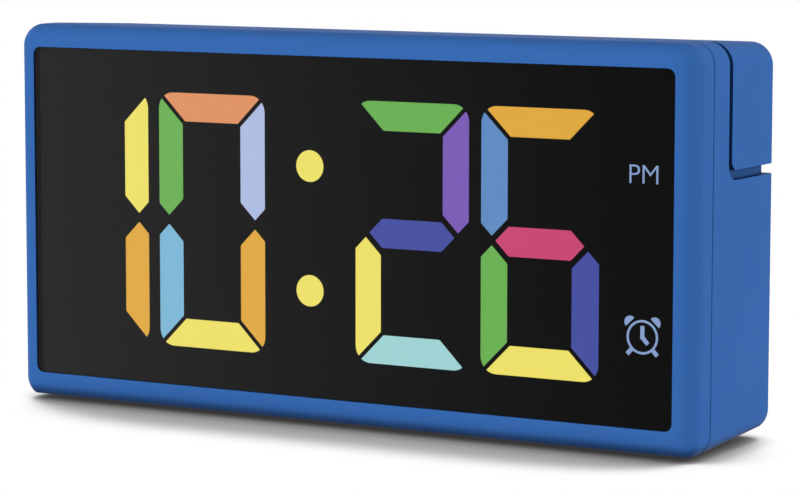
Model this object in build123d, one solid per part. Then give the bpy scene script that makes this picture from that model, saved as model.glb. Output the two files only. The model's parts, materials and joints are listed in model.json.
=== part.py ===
from build123d import *
import os
from math import cos, pi, sin, sqrt

# A bedside digital alarm clock with a wide snooze cap over its top rear.
# Lengths are in millimetres. The front looks along -Y, X runs to the right seen from the front, Z is up.
# The origin is on the table, below the middle of the case.

# Time display: four seven-segment digits, a colon and a column of indicators at the right
digit_width = 24.9
digit_height = 50.8
digit_stroke = 5.65
digit_gap = 2.65
digit_margin = 7.85
digit_drop = 0.27
display_margin = 2.2
colon_room = 20.7
colon_dot = 6.2
colon_spacing = 24.4
indicator_room = 15.6
indicator_inset = 6.6
mitre_gap = 0.85
tip_gap = 0.9
tip_inset = 2.3
bar_tip_inset = 3.1
digit_corner = 3.3
word_width = 8.2
word_height = 4.0
word_drop = 19.5
symbol_diameter = 8.4
symbol_drop = 49.6
window_corner = 0.5

# Lens, mask, light box and boards, stacked from front to back
lens_side_margin = 4.3
lens_top_margin = 4.7
lens_bottom_margin = 5.0
lens_setback = 0.3
lens_thickness = 1.3
lens_corner = 1.6
lens_fit = 0.12
ledge_width = 1.2
ledge_thickness = 1.2
stack_fit = 0.2
mask_gap = 0.15
mask_thickness = 0.8
opening_corner = 0.4
light_box_depth = 4.6
light_box_corner = 8.0
board_thickness = 1.6
board_corner = 2.0
display_board_inset = 3.5
led_length = 2.0
led_width = 1.3
led_height = 0.9

# Case
case_depth = 35.0
case_corner = 4.5
case_wall = 1.8
bezel_round = 3.7
rear_round = 0.8
top_fall = 1.2
chin_round = 5.5
chin_gap = 0.4
base_trim = 0.9
base_rise = 1.2
seam_setback = 7.9
seam_round = 0.35
foot_stand = 0.9
lip_length = 2.4
lip_thickness = 1.2
lip_fit = 0.15
lip_top_length = 70.0
lip_side_length = 30.0
cut_overrun = 1.0

# Snooze cap and the slot round it
slot_setback = 14.6
slot_width = 1.5
slot_height = 50.1
slot_gap = 1.9
slot_corner = 3.3
cap_corner = 2.0
cap_skirt = 1.2
cap_top = 1.8
skirt_clearance = 0.45
deck_clearance = 0.4
snooze_travel = 1.0
guide_post_diameter = 5.0
guide_post_spacing = 92.0
guide_clearance = 0.35
actuator_diameter = 5.0
actuator_length = 6.2
cap_screw_head = 7.6
cap_screw_head_height = 1.4
cap_screw_diameter = 2.2
cap_screw_length = 5.0

# Push switches, used for the snooze cap and the four rear buttons
switch_side = 6.0
switch_height = 3.5
plunger_diameter = 3.4
plunger_proud = 1.4
plunger_length = 2.4
plunger_clearance = 0.3

# Snooze board, hung below the deck
snooze_board_length = 34.0
snooze_board_width = 12.0
snooze_board_clearance = 2.05
snooze_pillar_spacing = 24.0
snooze_pillar_diameter = 5.0
flex_width = 8.0
flex_thickness = 0.4
flex_overlap = 5.0
flex_drop = 12.0

# Screws
screw_diameter = 2.2
screw_head = 4.2
screw_head_height = 1.5
screw_grip = 3.0
boss_inset = 5.8
boss_diameter = 4.6
case_screw_hole = 5.0
case_screw_seat_setback = 17.5
column_wall = 1.2
screw_play = 0.3
drive_slot_width = 0.7
drive_slot_depth = 0.7

# Battery well, its door and its cells
cell_diameter = 10.5
cell_length = 44.5
cell_nub_diameter = 3.8
cell_nub_length = 1.0
cell_gap = 0.5
contact_room = 2.6
contact_plate = 0.4
contact_bump = 5.0
well_wall = 1.4
well_inset = 40.0
well_z = 26.0
door_lap = 2.5
door_thickness = 1.8
door_fit = 0.35
door_corner = 2.0
door_notch_width = 14.0
door_notch_height = 3.0
door_notch_depth = 0.9
door_rib = 1.2
door_rib_height = 1.6
lead_diameter = 1.3
lead_pin_length = 1.2
lead_end_gap = 0.3
lead_gap = 0.05

# Rear control panel
panel_inset = 41.0
panel_z = 28.0
panel_recess = 1.2
panel_wall = 1.8
panel_corner = 3.0
button_diameter = 7.6
button_proud = 0.9
button_crown = 0.4
button_clearance = 0.3
button_flange = 9.8
button_flange_height = 1.0
button_flange_gap = 0.3
button_stem = 3.0
button_stem_length = 0.8
button_pitch = 13.0
button_row_inset = 8.5
row_spacing = 15.0
lower_row_inset = 10.5
knob_shift = 2.6
socket_shift = 2.6
button_board_inset = 1.5
standoff_diameter = 4.6
standoff_inset = 4.4
standoff_gap = 0.3
buzzer_diameter = 12.0
buzzer_height = 5.4
buzzer_port = 2.4
sound_hole = 1.6
sound_ring = 3.6
sound_hole_count = 6
knob_width = 5.4
knob_height = 4.4
knob_thickness = 0.7
knob_neck_width = 2.6
knob_neck_height = 2.2
knob_gap = 0.3
knob_travel = 3.0
knob_rib_width = 0.5
knob_rib_height = 0.35
slide_switch_length = 10.0
slide_switch_width = 5.0
slide_switch_height = 3.6
slide_slot_depth = 2.0
socket_width = 9.0
socket_height = 10.0
socket_bore = 5.6
socket_bore_depth = 5.0
socket_pin = 2.0
socket_pin_length = 4.4
socket_opening = 6.4

# Electronics on the rear of the display board
chip_side = 10.0
chip_height = 1.5
chip_rise = 14.0
chip_shift = 22.0
driver_length = 10.0
driver_width = 4.0
driver_pitch = 16.0
driver_drop = 6.0
leg_width = 0.4
leg_reach = 1.0
leg_height = 0.6
chip_leg_count = 11
driver_leg_count = 8
crystal_length = 8.0
crystal_width = 3.0
crystal_height = 2.6
crystal_shift = 10.5
capacitor_diameter = 6.3
capacitor_height = 7.0
capacitor_shift = 34.0
header_length = 18.0
header_width = 4.0
header_height = 2.6
ribbon_width = 15.0
ribbon_thickness = 0.6

# Rubber feet
foot_diameter = 8.0
foot_seat = 0.6
foot_inset_x = 16.0
foot_inset_front = 13.0
foot_inset_rear = 5.0
foot_round = 0.3

# Sizes and places that follow from the ones above
lens_width = display_margin + 4 * digit_width + 2 * digit_gap + colon_room + indicator_room
lens_height = digit_height + 2 * digit_margin
case_width = lens_width + 2 * lens_side_margin
case_height = lens_height + lens_top_margin + lens_bottom_margin
front_y = -case_depth / 2
rear_y = case_depth / 2
base_z = foot_stand
top_z = base_z + case_height
mid_z = (base_z + top_z) / 2
right_x = case_width / 2
seam_y = front_y + seam_setback
lens_z = base_z + lens_bottom_margin + lens_height / 2
digit_z = lens_z - digit_drop
lens_left = -lens_width / 2
lens_top = lens_z + lens_height / 2
lens_front_y = front_y + lens_setback
lens_back_y = lens_front_y + lens_thickness
window_width = lens_width - 2 * ledge_width
window_height = lens_height - 2 * ledge_width
mask_front_y = lens_back_y + mask_gap
mask_back_y = mask_front_y + mask_thickness
ledge_back_y = mask_back_y + ledge_thickness
board_front_y = mask_back_y + light_box_depth
board_back_y = board_front_y + board_thickness
inner_rear_y = rear_y - case_wall
slot_y = front_y + slot_setback
cap_front_y = slot_y + slot_width
ledge_z = base_z + slot_height
cap_bottom_z = ledge_z + slot_gap
step_inset = cap_skirt + skirt_clearance
cap_under_z = top_z - top_fall - cap_top
deck_z = cap_under_z - snooze_travel - deck_clearance
deck_under_z = deck_z - case_wall
boss_x = right_x - boss_inset
boss_low_z = base_z + boss_inset
boss_high_z = top_z - boss_inset

# Places of the digits, from the left edge of the lens
hours_tens_x = lens_left + display_margin + digit_width / 2
hours_units_x = hours_tens_x + digit_width + digit_gap
minutes_tens_x = hours_units_x + digit_width + colon_room
minutes_units_x = minutes_tens_x + digit_width + digit_gap
colon_x = hours_units_x + digit_width / 2 + colon_room / 2
indicator_x = lens_left + lens_width - indicator_inset
word_z = lens_top - word_drop
symbol_z = lens_top - symbol_drop


def upright_plane(y):
    """The plane at a depth on which a sketch's axes run along X and Z."""
    return Plane(origin=(0, y, 0), x_dir=(1, 0, 0), z_dir=(0, -1, 0))


def prism_y(sketch, y_from, y_to):
    """A sketch drawn in X and Z, given its depth along Y."""
    plane = upright_plane(y_to)
    return extrude(plane * sketch, amount=y_to - y_from, dir=plane.z_dir)


def prism_x(sketch, x_from, x_to):
    """A sketch drawn in Y and Z, given its length along X."""
    plane = Plane(origin=(x_from, 0, 0), x_dir=(0, 1, 0), z_dir=(1, 0, 0))
    return extrude(plane * sketch, amount=x_to - x_from, dir=plane.z_dir)


def rod_y(diameter, x, z, y_from, y_to):
    """A round rod along Y."""
    return prism_y(Pos(x, z) * Circle(diameter / 2), y_from, y_to)


def rod_x(diameter, y, z, x_from, x_to):
    """A round rod along X."""
    return prism_x(Pos(y, z) * Circle(diameter / 2), x_from, x_to)


def rod_z(diameter, x, y, z_from, z_to):
    """A round rod along Z."""
    return extrude(Plane(origin=(x, y, z_from)) * Circle(diameter / 2), amount=z_to - z_from)


def block(x_from, x_to, y_from, y_to, z_from, z_to):
    """A plain block between two corners."""
    middle = Pos((x_from + x_to) / 2, (y_from + y_to) / 2, (z_from + z_to) / 2)
    return middle * Box(x_to - x_from, y_to - y_from, z_to - z_from)


def rounded(width, height, corner, x, z):
    """A rectangle with rounded corners, drawn in X and Z."""
    return Pos(x, z) * RectangleRounded(width, height, corner)


def save(node, *pieces):
    """Writes one node, as one solid or as a group of separate solids."""
    solids = [solid for piece in pieces for solid in piece.solids()]
    shape = solids[0] if len(solids) == 1 else Compound(solids)
    export_step(shape, f"parts/{node}.step")


# Segments of one digit, as outlines about the digit's middle
def inside_digit(points):
    """An outline through the points, cut to the digit's rounded face."""
    return Polygon(*points, align=None) & RectangleRounded(digit_width, digit_height, digit_corner)


def upright_outline(side, end):
    """An upright segment: side is -1 left or 1 right, end is -1 lower or 1 upper."""
    edge = digit_width / 2
    cap = digit_height / 2
    mitre = mitre_gap / sqrt(2)
    inner = edge - digit_stroke
    points = [
        (edge, cap - mitre),
        (inner, cap - digit_stroke - mitre),
        (inner, tip_gap + digit_stroke - tip_inset),
        (edge - tip_inset, tip_gap),
        (edge, tip_gap + tip_inset),
    ]
    return inside_digit([(side * x, end * z) for x, z in points])


def level_outline(end):
    """The top segment, where end is 1, or the bottom one, where end is -1."""
    cap = digit_height / 2
    mitre = mitre_gap / sqrt(2)
    outer = digit_width / 2 - mitre
    inner = outer - digit_stroke
    points = [(-outer, cap), (outer, cap), (inner, cap - digit_stroke), (-inner, cap - digit_stroke)]
    return inside_digit([(x, end * z) for x, z in points])


def middle_outline():
    """The middle bar, pointed at both ends."""
    tip = digit_width / 2 - bar_tip_inset
    half = digit_stroke / 2
    shoulder = tip - half
    points = [(-tip, 0), (-shoulder, half), (shoulder, half), (tip, 0), (shoulder, -half), (-shoulder, -half)]
    return Polygon(*points, align=None)


segment_outlines = {
    "a": level_outline(1),
    "b": upright_outline(1, 1),
    "c": upright_outline(1, -1),
    "d": level_outline(-1),
    "e": upright_outline(-1, -1),
    "f": upright_outline(-1, 1),
    "g": middle_outline(),
}


# The time that shows is 10:26. The tens of the hours have room for a 1 only.
# Each colour of film is one node.
segments_by_colour = {
    "yellow": {"hours_tens": "b", "hours_units": "d", "minutes_tens": "e", "minutes_units": "d"},
    "amber": {"hours_tens": "c", "hours_units": "c", "minutes_units": "a"},
    "green": {"hours_units": "f", "minutes_tens": "a", "minutes_units": "e"},
    "orange": {"hours_units": "a"},
    "pale_blue": {"hours_units": "b"},
    "sky_blue": {"hours_units": "e"},
    "violet": {"minutes_tens": "b"},
    "indigo": {"minutes_tens": "g", "minutes_units": "c"},
    "aqua": {"minutes_tens": "d"},
    "blue": {"minutes_units": "f"},
    "magenta": {"minutes_units": "g"},
    "unlit": {"hours_units": "g", "minutes_tens": "cf", "minutes_units": "b"},
}
digit_places = {
    "hours_tens": hours_tens_x,
    "hours_units": hours_units_x,
    "minutes_tens": minutes_tens_x,
    "minutes_units": minutes_units_x,
}


def coloured_windows(colour):
    """The outlines of one colour's segments at their places on the lens."""
    outlines = []
    for digit, letters in segments_by_colour[colour].items():
        for letter in letters:
            outlines.append(Pos(digit_places[digit], digit_z) * segment_outlines[letter])
    return outlines


def colon_windows():
    """The two dots of the colon."""
    rises = (colon_spacing / 2, -colon_spacing / 2)
    return [Pos(colon_x, digit_z + rise) * Circle(colon_dot / 2) for rise in rises]


windows = {f"{colour}_segments": coloured_windows(colour) for colour in segments_by_colour}
windows["colon_dots"] = colon_windows()
windows["indicator_word"] = [rounded(word_width, word_height, window_corner, indicator_x, word_z)]
windows["alarm_symbol"] = [Pos(indicator_x, symbol_z) * Circle(symbol_diameter / 2)]
all_windows = [outline for outlines in windows.values() for outline in outlines]


# Front of the clock
def case_outline(inset):
    """The inside of the case's walls seen from the front, drawn in by an inset."""
    return rounded(case_width - 2 * inset, case_height - 2 * inset, case_corner - inset, 0, mid_z)


def outer_outline(fall, rise):
    """The outer outline seen from the front, with its top let down and its foot raised, but past the base."""
    top = top_z - fall
    foot = base_z + rise - base_trim
    return rounded(case_width, top - foot, case_corner, 0, (top + foot) / 2)


def base_height(y):
    """The height of the case's base at a depth: level under the bezel, and rising behind the seam."""
    return base_z + base_rise * max(y - seam_y, 0) / (rear_y - seam_y)


def under_base(lift):
    """The room below the base, raised by a lift, across the whole width."""
    ahead = front_y - cut_overrun
    behind = rear_y + cut_overrun
    low = base_z - base_trim - cut_overrun
    corners = [
        (ahead, low),
        (behind, low),
        (behind, base_height(behind) + lift),
        (seam_y, base_z + lift),
        (ahead, base_z + lift),
    ]
    return across(Polygon(*corners, align=None))


def chin():
    """What a larger rounding takes off the lower front edge, as a side view."""
    ahead = front_y - cut_overrun
    behind = front_y + chin_round
    low = base_z - base_trim - cut_overrun
    start_z = base_z + lens_bottom_margin - chin_gap
    room = Polygon((ahead, low), (behind, low), (behind, start_z), (ahead, start_z), align=None)
    return room - Pos(behind, start_z) * Circle(chin_round)


def front_bezel():
    """The frame round the lens, with a ledge behind the lens and its mask, and four screw bosses."""
    body = prism_y(outer_outline(0, 0), front_y, seam_y)
    body = fillet(body.faces().sort_by(Axis.Y)[0].edges(), bezel_round)
    body = fillet(body.faces().sort_by(Axis.Y)[-1].edges(), seam_round)
    body -= under_base(0)
    body -= across(chin())
    recess = rounded(lens_width + 2 * lens_fit, lens_height + 2 * lens_fit, lens_corner, 0, lens_z)
    body -= prism_y(recess, front_y - cut_overrun, mask_back_y)
    window = rounded(window_width, window_height, opening_corner, 0, lens_z)
    body -= prism_y(window, mask_back_y - cut_overrun, seam_y)
    body -= prism_y(case_outline(case_wall), ledge_back_y, seam_y + cut_overrun)
    for x in (-boss_x, boss_x):
        for z in (boss_low_z, boss_high_z):
            body += rod_y(boss_diameter, x, z, ledge_back_y, board_front_y)
            body -= rod_y(screw_diameter, x, z, board_front_y - screw_grip, board_front_y + cut_overrun)
    return body


def display_lens():
    """The smoked lens, let into the bezel."""
    body = prism_y(rounded(lens_width, lens_height, lens_corner, 0, lens_z), lens_front_y, lens_back_y)
    return body


def pierced(body, y_from, y_to):
    """A plate with an opening for each light window."""
    for outline in all_windows:
        body -= prism_y(outline, y_from - cut_overrun, y_to + cut_overrun)
    return body


def segment_mask():
    """The black plate behind the lens, as large as the lens."""
    outline = rounded(lens_width, lens_height, lens_corner, 0, lens_z)
    return pierced(prism_y(outline, mask_front_y, mask_back_y), mask_front_y, mask_back_y)


def light_box():
    """The white block that keeps each window's light apart."""
    width = window_width - 2 * stack_fit
    height = window_height - 2 * stack_fit
    outline = rounded(width, height, light_box_corner, 0, lens_z)
    return pierced(prism_y(outline, mask_back_y, board_front_y), mask_back_y, board_front_y)


def display_board():
    """The main circuit board, clamped between the bezel's bosses and the housing's columns."""
    width = case_width - 2 * display_board_inset
    height = case_height - 2 * display_board_inset
    body = prism_y(rounded(width, height, board_corner, 0, mid_z), board_front_y, board_back_y)
    for x in (-boss_x, boss_x):
        for z in (boss_low_z, boss_high_z):
            body -= rod_y(screw_diameter, x, z, board_front_y - cut_overrun, board_back_y + cut_overrun)
    return body


def segment_leds():
    """One light-emitting chip on the board behind the middle of each window."""
    leds = []
    for outline in all_windows:
        middle = outline.center()
        half = led_length / 2
        side = led_width / 2
        leds.append(
            block(
                middle.X - side, middle.X + side,
                board_front_y - led_height, board_front_y,
                middle.Y - half, middle.Y + half,
            )
        )
    return leds


def legged_chip(x, z, length, width, leg_count):
    """A flat chip on the rear of the display board, with a row of legs along its two long sides."""
    top = board_back_y + chip_height
    lift = leg_height / 2
    body = block(x - length / 2, x + length / 2, board_back_y + lift, top, z - width / 2, z + width / 2)
    pitch = length / leg_count
    for index in range(leg_count):
        leg_x = x - length / 2 + pitch * (index + 0.5)
        half = width / 2 + leg_reach
        body += block(
            leg_x - leg_width / 2, leg_x + leg_width / 2,
            board_back_y, board_back_y + leg_height,
            z - half, z + half,
        )
    return body


def quartz_crystal():
    """The timing crystal's can, beside the clock chip."""
    x = -chip_shift + crystal_shift
    can = Pos(x, mid_z + chip_rise) * SlotOverall(crystal_length, crystal_width)
    return prism_y(can, board_back_y, board_back_y + crystal_height)


def reservoir_capacitor():
    """The can that smooths the supply."""
    x = -chip_shift + capacitor_shift
    return rod_y(capacitor_diameter, x, mid_z + chip_rise, board_back_y, board_back_y + capacitor_height)


# Rear of the clock
panel_x = right_x - panel_inset
panel_face_y = rear_y - panel_recess
panel_inner_y = panel_face_y - panel_wall
panel_height = button_row_inset + row_spacing + lower_row_inset
button_row_z = panel_z + panel_height / 2 - button_row_inset
lower_row_z = button_row_z - row_spacing
button_top_y = panel_face_y + button_proud
flange_top_y = panel_inner_y - button_flange_gap
flange_under_y = flange_top_y - button_flange_height
stem_end_y = flange_under_y - button_stem_length
button_board_y = stem_end_y - plunger_proud - switch_height
button_board_front_y = button_board_y - board_thickness
button_names = ("time", "alarm", "hour", "minute")
button_row_half = button_pitch * (len(button_names) - 1) / 2
button_row_start = panel_x - button_row_half
button_places = {name: button_row_start + order * button_pitch for order, name in enumerate(button_names)}
standoff_x = button_row_half + button_flange / 2 + standoff_gap + standoff_diameter / 2
button_board_width = 2 * (standoff_x + standoff_inset)
button_board_height = panel_height - 2 * button_board_inset
standoff_z = button_board_height / 2 - standoff_inset
panel_width = button_board_width + 2 * button_board_inset
buzzer_x = panel_x
knob_x = panel_x - button_row_half + knob_shift
socket_x = panel_x + button_row_half - socket_shift
well_x = -right_x + well_inset
well_width = cell_length + 2 * contact_room
well_height = 2 * cell_diameter + 3 * cell_gap
well_depth = cell_diameter + 2 * cell_gap
door_width = well_width + 2 * door_lap
door_height = well_height + 2 * door_lap
door_inner_y = rear_y - door_thickness
well_floor_y = door_inner_y - well_depth
cell_y = door_inner_y - cell_gap - cell_diameter / 2
cell_rise = (cell_diameter + cell_gap) / 2
lead_y = button_board_y + lead_diameter / 2 + lead_gap
case_screw_seat_y = rear_y - case_screw_seat_setback
foot_y_front = front_y + foot_inset_front
foot_y_rear = rear_y - foot_inset_rear
foot_x = right_x - foot_inset_x
guide_x = guide_post_spacing / 2
actuator_end_z = cap_under_z - actuator_length
snooze_switch_top_z = actuator_end_z - plunger_proud
snooze_board_top_z = snooze_switch_top_z - switch_height
snooze_board_under_z = snooze_board_top_z - board_thickness
pillar_x = snooze_pillar_spacing / 2
snooze_board_rear_y = rear_y - step_inset - case_wall - snooze_board_clearance
snooze_y = snooze_board_rear_y - snooze_board_width / 2


def rear_region(front_edge, lower_edge, corner):
    """The region behind a front edge and above a lower edge, seen from the side, with one round corner."""
    back = rear_y + cut_overrun
    top = top_z + cut_overrun
    middle = Pos((front_edge + back) / 2, (lower_edge + top) / 2)
    region = middle * Rectangle(back - front_edge, top - lower_edge)
    inner_corner = region.vertices().sort_by_distance((front_edge, lower_edge, 0))[0]
    return fillet([inner_corner], corner)


def across(region):
    """A side view region as a solid across the whole width."""
    return prism_x(region, -right_x - cut_overrun, right_x + cut_overrun)


def stepped_core(inset, top, y_from):
    """The part of the housing that the snooze cap slides over, drawn in by an inset."""
    half = right_x - inset
    middle = (mid_z + top) / 2
    corner = case_corner - step_inset
    outline = rounded(2 * half, top - mid_z, corner, 0, middle)
    return prism_y(outline, y_from, rear_y - inset)


def rear_case():
    """The outer form behind the seam, which grows a little less tall towards the rear."""
    front_outline = upright_plane(seam_y) * outer_outline(0, 0)
    rear_outline = upright_plane(rear_y) * outer_outline(top_fall, base_rise)
    form = loft([front_outline, rear_outline], ruled=True)
    return fillet(form.faces().sort_by(Axis.Y)[-1].edges(), rear_round)


def housing_shell():
    """The rear shell: full size in front of the slot and below it, stepped in under the cap."""
    shell = rear_case()
    shell = fillet(shell.faces().sort_by(Axis.Y)[0].edges(), seam_round)
    shell -= under_base(0)
    groove = across(rear_region(slot_y, ledge_z, slot_corner))
    groove -= stepped_core(step_inset, deck_z, slot_y - case_wall)
    shell -= groove
    lower_cavity = prism_y(case_outline(case_wall), seam_y - cut_overrun, inner_rear_y)
    lower_cavity -= across(rear_region(slot_y - case_wall, ledge_z - case_wall, slot_corner))
    lower_cavity -= under_base(case_wall)
    upper_cavity = stepped_core(step_inset + case_wall, deck_under_z, seam_y)
    shell -= lower_cavity
    shell -= upper_cavity
    return shell


def housing_lips():
    """Tongues on the seam that the bezel closes over."""
    wide = lip_top_length / 2
    tall = lip_side_length / 2
    y_from = seam_y - lip_length
    y_to = seam_y + case_wall
    side_out = right_x - case_wall - lip_fit
    rise_out = case_height / 2 - case_wall - lip_fit
    tongues = []
    for sign in (-1, 1):
        z_near = mid_z + sign * (rise_out - lip_thickness)
        z_far = mid_z + sign * rise_out
        x_near = sign * (side_out - lip_thickness)
        x_far = sign * side_out
        z_pair = sorted((z_near, z_far))
        tongues.append(block(-wide, wide, y_from, y_to, z_pair[0], z_pair[1]))
        x_pair = sorted((x_near, x_far))
        tongues.append(block(x_pair[0], x_pair[1], y_from, y_to, mid_z - tall, mid_z + tall))
    return tongues


def lip_roots():
    """Thickenings that join the tongues to the housing's inner wall."""
    wide = lip_top_length / 2
    tall = lip_side_length / 2
    y_to = seam_y + case_wall
    y_from = seam_y + seam_round
    side_out = right_x - case_wall / 2
    rise_out = case_height / 2 - case_wall / 2
    side_in = right_x - case_wall - lip_fit - lip_thickness
    rise_in = case_height / 2 - case_wall - lip_fit - lip_thickness
    roots = []
    for sign in (-1, 1):
        z_pair = sorted((mid_z + sign * rise_in, mid_z + sign * rise_out))
        x_pair = sorted((sign * side_in, sign * side_out))
        roots.append(block(-wide, wide, y_from, y_to, z_pair[0], z_pair[1]))
        roots.append(block(x_pair[0], x_pair[1], y_from, y_to, mid_z - tall, mid_z + tall))
    return roots


def rear_housing():
    """The rear shell with its tongues, battery well, control panel, columns, deck holes and foot seats."""
    body = housing_shell()
    for piece in housing_lips() + lip_roots():
        body += piece
    merge_y = rear_y - case_wall / 2
    # Battery well and its door rebate
    rebate_width = door_width + 2 * door_fit
    rebate_height = door_height + 2 * door_fit
    rim = rounded(rebate_width + 2 * well_wall, rebate_height + 2 * well_wall, door_corner, well_x, well_z)
    body += prism_y(rim, door_inner_y - well_wall, merge_y)
    tub = Pos(well_x, well_z) * Rectangle(well_width + 2 * well_wall, well_height + 2 * well_wall)
    body += prism_y(tub, well_floor_y - well_wall, merge_y)
    rebate = rounded(rebate_width, rebate_height, door_corner, well_x, well_z)
    body -= prism_y(rebate, door_inner_y, rear_y + cut_overrun)
    body -= prism_y(Pos(well_x, well_z) * Rectangle(well_width, well_height), well_floor_y, rear_y)
    for rise in (-cell_rise, cell_rise):
        end = well_x + well_width / 2
        body -= rod_x(lead_diameter, lead_y, well_z + rise, end - cut_overrun, end + well_wall + cut_overrun)
    # Control panel
    pad = rounded(panel_width + 2 * panel_wall, panel_height + 2 * panel_wall, panel_corner, panel_x, panel_z)
    body += prism_y(pad, panel_inner_y, merge_y)
    panel = rounded(panel_width, panel_height, panel_corner, panel_x, panel_z)
    body -= prism_y(panel, panel_face_y, rear_y + cut_overrun)
    hole_from = panel_inner_y - cut_overrun
    hole_to = rear_y
    for x in button_places.values():
        body -= rod_y(button_diameter + 2 * button_clearance, x, button_row_z, hole_from, hole_to)
    body -= rod_y(socket_opening, socket_x, lower_row_z, hole_from, hole_to)
    body -= rod_y(sound_hole, buzzer_x, lower_row_z, hole_from, hole_to)
    for index in range(sound_hole_count):
        turn = 2 * pi * index / sound_hole_count
        x = buzzer_x + sound_ring * cos(turn)
        z = lower_row_z + sound_ring * sin(turn)
        body -= rod_y(sound_hole, x, z, hole_from, hole_to)
    knob_slot_width = knob_neck_width + knob_travel + 2 * knob_gap
    knob_slot_height = knob_neck_height + 2 * knob_gap
    knob_slot = Pos(knob_x, lower_row_z) * Rectangle(knob_slot_width, knob_slot_height)
    body -= prism_y(knob_slot, hole_from, hole_to)
    # Standoffs of the button board
    for x in (panel_x - standoff_x, panel_x + standoff_x):
        for z in (panel_z - standoff_z, panel_z + standoff_z):
            body += rod_y(standoff_diameter, x, z, button_board_y, panel_inner_y)
            body -= rod_y(screw_diameter, x, z, button_board_y - cut_overrun, button_board_y + screw_grip)
    # Columns for the case screws
    for x in (-boss_x, boss_x):
        column = case_screw_hole + 2 * column_wall
        body += rod_y(column, x, boss_low_z, board_back_y, merge_y)
        body -= rod_y(case_screw_hole, x, boss_low_z, case_screw_seat_y, rear_y + cut_overrun)
        body -= rod_y(screw_diameter + 2 * screw_play, x, boss_low_z, board_back_y - cut_overrun, rear_y)
    # Deck: guide holes, the actuator's hole and the pillars of the snooze board
    for x in (-guide_x, guide_x):
        hole = guide_post_diameter + 2 * guide_clearance
        body -= rod_z(hole, x, snooze_y, deck_under_z - cut_overrun, deck_z + cut_overrun)
    hole = actuator_diameter + 2 * guide_clearance
    body -= rod_z(hole, 0, snooze_y, deck_under_z - cut_overrun, deck_z + cut_overrun)
    for x in (-pillar_x, pillar_x):
        body += rod_z(snooze_pillar_diameter, x, snooze_y, snooze_board_top_z, deck_under_z)
        body -= rod_z(screw_diameter, x, snooze_y, snooze_board_top_z, snooze_board_top_z + screw_grip)
    # Seats of the feet
    for x in (-foot_x, foot_x):
        for y in (foot_y_front, foot_y_rear):
            body -= rod_z(foot_diameter, x, y, base_z - cut_overrun, base_height(y) + foot_seat)
    return body


def snooze_cap():
    """The wide push cap over the top rear of the case, with two guide posts and an actuator."""
    body = rear_case()
    body &= across(rear_region(cap_front_y, cap_bottom_z, cap_corner))
    half = right_x - cap_skirt
    low = cap_bottom_z - case_corner - cut_overrun
    hollow = rounded(2 * half, cap_under_z - low, case_corner - cap_skirt, 0, (cap_under_z + low) / 2)
    body -= prism_y(hollow, cap_front_y - cut_overrun, rear_y - cap_skirt)
    post_end_z = deck_under_z - screw_play
    for x in (-guide_x, guide_x):
        body += rod_z(guide_post_diameter, x, snooze_y, post_end_z, cap_under_z)
        bore_end_z = post_end_z + cap_screw_length
        body -= rod_z(cap_screw_diameter, x, snooze_y, post_end_z - cut_overrun, bore_end_z)
    body += rod_z(actuator_diameter, 0, snooze_y, actuator_end_z, cap_under_z)
    return body


def slotted_head(head, diameter, height):
    """Cuts a drive slot across a screw head that stands on the XY plane, with its top at the given height."""
    return head - block(
        -diameter, diameter,
        -drive_slot_width / 2, drive_slot_width / 2,
        height - drive_slot_depth, height + cut_overrun,
    )


def screw(head_diameter, head_height, shank_diameter, shank_length):
    """A screw that points down -Z, with the underside of its head on the XY plane."""
    head = rod_z(head_diameter, 0, 0, 0, head_height)
    head = slotted_head(head, head_diameter, head_height)
    return head + rod_z(shank_diameter, 0, 0, -shank_length, 0)


def screw_along(x, y, z, direction, *sizes):
    """A screw with its head's underside at a point, and its shank along a direction."""
    away = tuple(-part for part in direction)
    return Plane(origin=(x, y, z), z_dir=away) * screw(*sizes)


def cap_screws():
    """The screws under the deck that keep the cap from lifting off."""
    post_end_z = deck_under_z - screw_play
    sizes = (cap_screw_head, cap_screw_head_height, cap_screw_diameter, cap_screw_length)
    return [screw_along(x, snooze_y, post_end_z, (0, 0, 1), *sizes) for x in (-guide_x, guide_x)]


def switch_body():
    """A push switch's body on the XY plane, with a bore for its plunger."""
    bore = plunger_diameter + 2 * plunger_clearance
    body = extrude(Rectangle(switch_side, switch_side), amount=switch_height)
    return body - rod_z(bore, 0, 0, switch_height - plunger_length - cut_overrun, switch_height + cut_overrun)


def plunger():
    """A push switch's plunger, at rest above the XY plane."""
    top = switch_height + plunger_proud
    return rod_z(plunger_diameter, 0, 0, top - plunger_length, top)


snooze_seat = Plane(origin=(0, snooze_y, snooze_board_top_z))


def button_seat(name):
    """The plane on the button board where a button's switch stands."""
    return Plane(origin=(button_places[name], button_board_y, button_row_z), x_dir=(1, 0, 0), z_dir=(0, 1, 0))


def snooze_board():
    """The small board that carries the snooze switch."""
    long = snooze_board_length / 2
    wide = snooze_board_width / 2
    body = block(-long, long, snooze_y - wide, snooze_y + wide, snooze_board_under_z, snooze_board_top_z)
    for x in (-pillar_x, pillar_x):
        body -= rod_z(
            screw_diameter, x, snooze_y, snooze_board_under_z - cut_overrun, snooze_board_top_z + cut_overrun
        )
    return body


def snooze_flex():
    """The flat cable from the snooze board forward and down the display board's rear."""
    start_y = snooze_y - snooze_board_width / 2 + flex_overlap
    top = snooze_board_under_z
    low = top - flex_drop
    points = [
        (start_y, top),
        (board_back_y, top),
        (board_back_y, low),
        (board_back_y + flex_thickness, low),
        (board_back_y + flex_thickness, top - flex_thickness),
        (start_y, top - flex_thickness),
    ]
    return prism_x(Polygon(*points, align=None), -flex_width / 2, flex_width / 2)


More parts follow.
